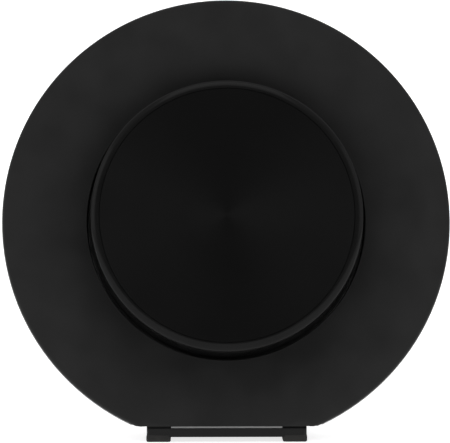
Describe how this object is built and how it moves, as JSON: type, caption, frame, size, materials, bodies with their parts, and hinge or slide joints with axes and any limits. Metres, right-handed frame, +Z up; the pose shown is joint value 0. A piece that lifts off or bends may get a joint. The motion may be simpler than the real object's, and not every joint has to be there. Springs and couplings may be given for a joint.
{
  "type": "smart home hub",
  "caption": "Disc-shaped smart home hub leaning back on a low foot, with a dished front and a large round dial that turns and presses.",
  "frame": {"origin": "on the table, under the middle of the whole object", "axes": "+X to the right as seen from the front, +Y towards the back, +Z up"},
  "size_m": [0.1406, 0.0584, 0.1374],
  "materials": {
    "cover_black": "fine satin texture",
    "trim_silver": "satin",
    "rear_black": "fine texture",
    "chassis_metal": "stamped, satin",
    "board_green": "solder mask",
    "led_white": "moulded",
    "light_smoke": "smoked",
    "part_black": "moulded",
    "part_ivory": "moulded",
    "spring_steel": "drawn wire",
    "screw_steel": "zinc plated",
    "screw_black": "black oxide",
    "flex_amber": "film",
    "can_tin": "tin plated",
    "heat_blue": "soft",
    "spreader_alu": "anodised",
    "socket_metal": "nickel plated",
    "magnet_steel": "zinc plated",
    "cone_black": "paper",
    "foam_black": "foam",
    "antenna_gold": "plated",
    "foot_black": "satin",
    "plate_steel": "zinc plated",
    "pad_rubber": "matt",
    "carrier_nylon": "moulded",
    "race_steel": "ground",
    "ball_steel": "polished",
    "cage_brass": "satin",
    "dial_black": "satin gloss",
    "face_spun": "spun, black anodised",
    "button_black": "satin"
  },
  "bodies": {
    "housing": {"front_cover": "cover_black", "trim_ring": "trim_silver", "rear_cover": "rear_black", "chassis_plate": "chassis_metal", "front_board": "board_green", "status_leds": "led_white", "light_ring": "light_smoke", "press_switch": "part_black", "press_springs": "spring_steel", "guide_screws": "screw_steel", "board_link": "part_black", "encoder_flex": "flex_amber", "main_board": "board_green", "shield_can": "can_tin", "heat_pad": "heat_blue", "heat_spreader": "spreader_alu", "radio_module": "can_tin", "wireless_module": "can_tin", "board_chips": "part_black", "ethernet_socket": "socket_metal", "power_socket": "socket_metal", "reset_switch": "part_black", "speaker_frame": "part_black", "speaker_cone": "cone_black", "speaker_magnet": "magnet_steel", "speaker_gasket": "foam_black", "antennas": "antenna_gold", "cover_screws": "screw_black", "chassis_screws": "screw_steel", "board_screws": "screw_steel", "foot": "foot_black", "foot_screws": "screw_black", "foot_pads": "pad_rubber", "foot_plate": "plate_steel"},
    "dial_carrier": {"press_carrier": "carrier_nylon", "inner_race": "race_steel", "race_clip": "spring_steel", "encoder_board": "board_green", "encoder_sensor": "part_black", "press_stem": "part_ivory"},
    "dial": {"dial_cap": "dial_black", "dial_face": "face_spun", "outer_race": "race_steel", "dial_retainer": "spring_steel", "code_ring": "spring_steel"},
    "ball_cage": {"ball_cage": "cage_brass", "bearing_balls": "ball_steel"},
    "reset_button": {"reset_button": "button_black", "reset_stem": "part_ivory"}
  },
  "joints": [
    {"name": "dial_press", "type": "slide", "parent": "housing", "child": "dial_carrier", "axis": [0, -0.9877, 0.1564], "range_m": [-0.0006, 0], "stiffness_N_per_m": 2500, "springref_m": 0.001, "deforming": ["press_springs", "encoder_flex"]},
    {"name": "dial_turn", "type": "hinge", "parent": "dial_carrier", "child": "dial", "pos_m": [0, -0.01066, 0.06876], "axis": [0, -0.9877, 0.1564], "continuous": true},
    {"name": "ball_cage_turn", "type": "hinge", "parent": "dial_carrier", "child": "ball_cage", "pos_m": [0, -0.01066, 0.06876], "axis": [0, -0.9877, 0.1564], "continuous": true},
    {"name": "reset_press", "type": "slide", "parent": "housing", "child": "reset_button", "axis": [0, -0.9877, 0.1564], "range_m": [0, 0.0005], "stiffness_N_per_m": 1200, "springref_m": -0.0008}
  ],
  "couplings": [
    {"joint": "ball_cage_turn", "follows": "dial_turn", "ratio": 0.5176}
  ]
}
